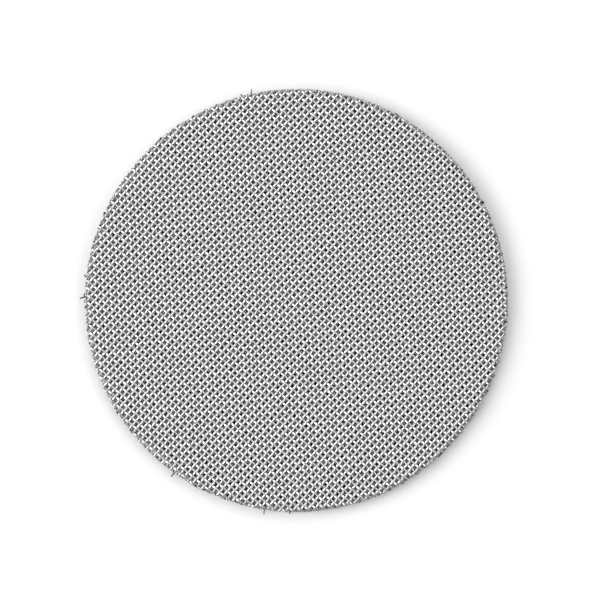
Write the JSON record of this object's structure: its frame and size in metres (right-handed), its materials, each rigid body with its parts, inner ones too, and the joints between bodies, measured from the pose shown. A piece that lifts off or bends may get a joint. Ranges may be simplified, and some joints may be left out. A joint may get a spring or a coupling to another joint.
{
  "type": "burner gauze disc",
  "caption": "Flat round disc of bonded woven steel wire gauzes, a fine one between coarse ones, that covers a gas burner's mouth.",
  "frame": {"origin": "centre of the back face, on the surface that the disc lies on", "axes": "+Z through the disc from the back face to the front face, +X along the weft wires, +Y along the warp wires"},
  "size_m": [0.034, 0.034, 0.001],
  "materials": {
    "coarse_wire": "bright drawn stainless wire, lightly dulled by bonding",
    "fine_wire": "drawn stainless wire, duller than the coarse wire"
  },
  "bodies": {
    "root": {"front_gauze_warp_wires": "coarse_wire", "front_gauze_weft_wires": "coarse_wire", "middle_gauze_warp_wires": "fine_wire", "middle_gauze_weft_wires": "fine_wire", "back_gauze_warp_wires": "coarse_wire", "back_gauze_weft_wires": "coarse_wire"}
  },
  "joints": []
}
